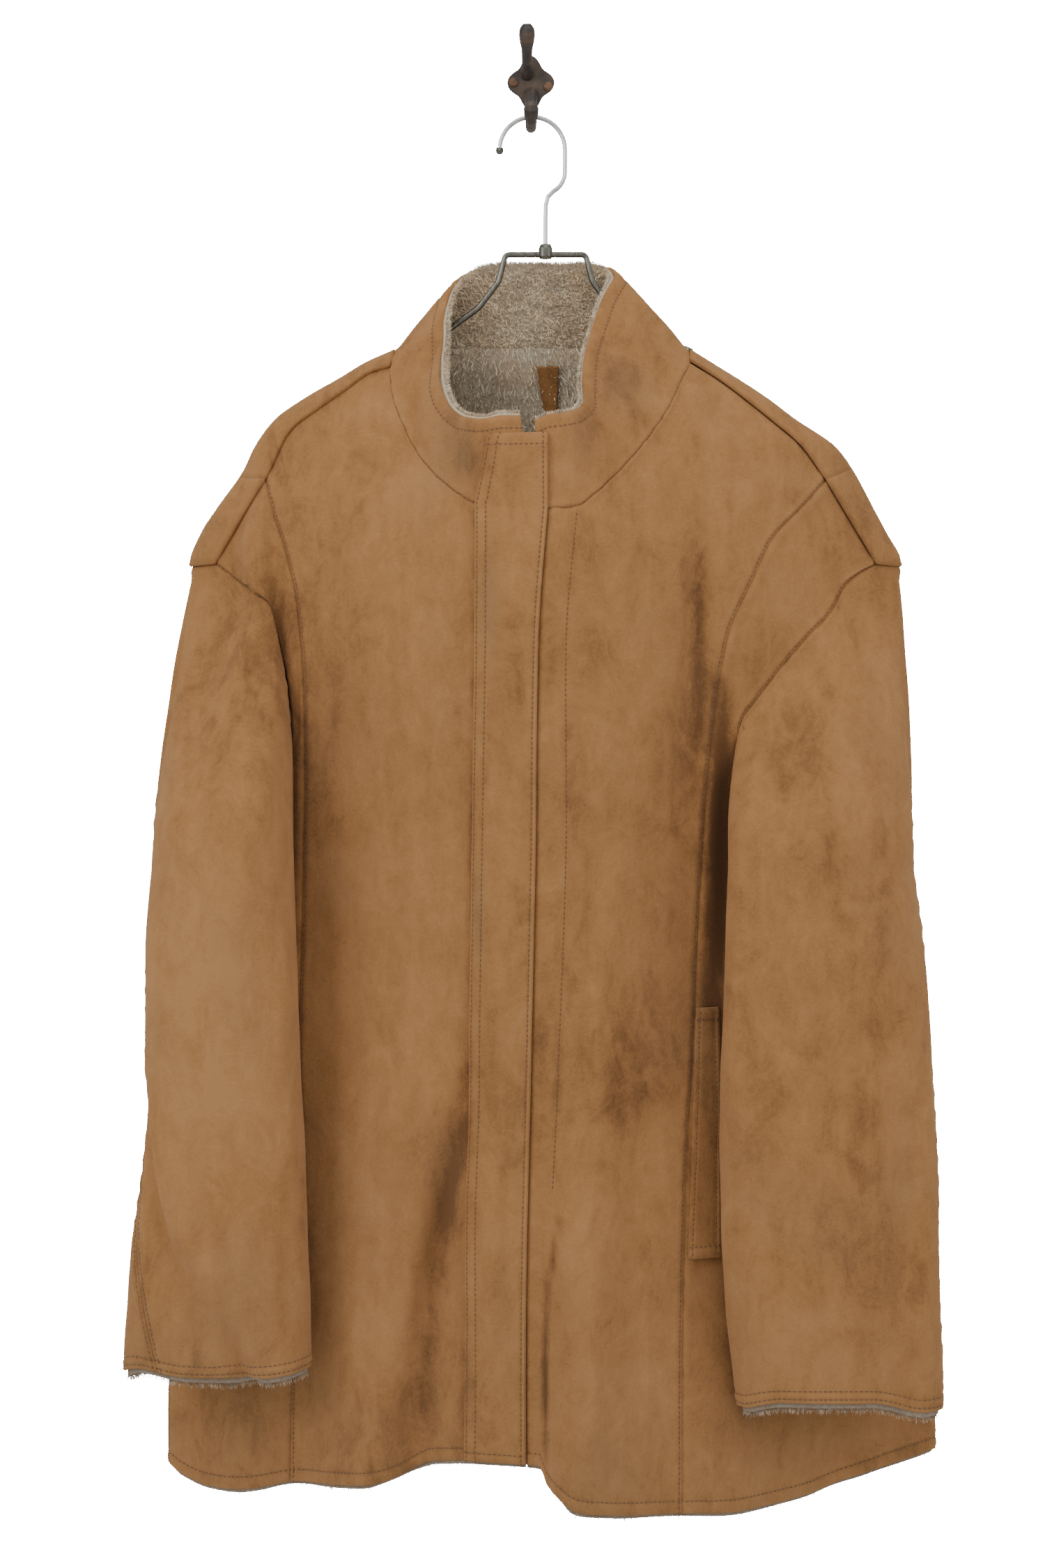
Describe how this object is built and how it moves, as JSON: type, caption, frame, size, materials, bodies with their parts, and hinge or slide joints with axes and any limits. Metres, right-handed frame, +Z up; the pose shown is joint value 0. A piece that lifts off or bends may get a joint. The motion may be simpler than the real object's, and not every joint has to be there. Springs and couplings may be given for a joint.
{
  "type": "faux shearling coat on a wire hanger and a wall hook",
  "caption": "Faux shearling coat with a stand collar and a fly front placket, on a steel wire hanger that hangs from a cast iron wall hook.",
  "frame": {"origin": "on the back face of the wall hook's plate, at its middle", "axes": "+Z up; +Y into the wall that the hook is screwed to; the coat's front faces -Y; +X to the viewer's right"},
  "size_m": [0.5949, 0.1843, 1.1034],
  "materials": {
    "suede": "matt napped faux suede, mottled",
    "fur": "grey-brown faux fur pile",
    "brushed_steel": "brushed wire",
    "cast_iron": "black, slightly worn",
    "browned_steel": "browned screw heads"
  },
  "bodies": {
    "root": {"front_right": "suede", "front_left": "suede", "side_front_right": "suede", "side_front_left": "suede", "back_centre": "suede", "side_back_right": "suede", "side_back_left": "suede", "top_sleeve_right": "suede", "under_sleeve_right": "suede", "top_sleeve_left": "suede", "under_sleeve_left": "suede", "collar": "suede", "placket_flap": "suede", "pocket_welt": "suede", "back_neck_tab": "suede", "collar_fur": "fur", "back_neck_fur": "fur", "hem_fur": "fur", "cuff_fur_right": "fur", "cuff_fur_left": "fur", "hanger_frame": "brushed_steel", "hanger_hook": "brushed_steel", "hanger_hook_ball": "brushed_steel", "hanger_ferrule": "brushed_steel", "wall_hook": "cast_iron", "wall_screw_right": "browned_steel", "wall_screw_left": "browned_steel"}
  },
  "joints": []
}
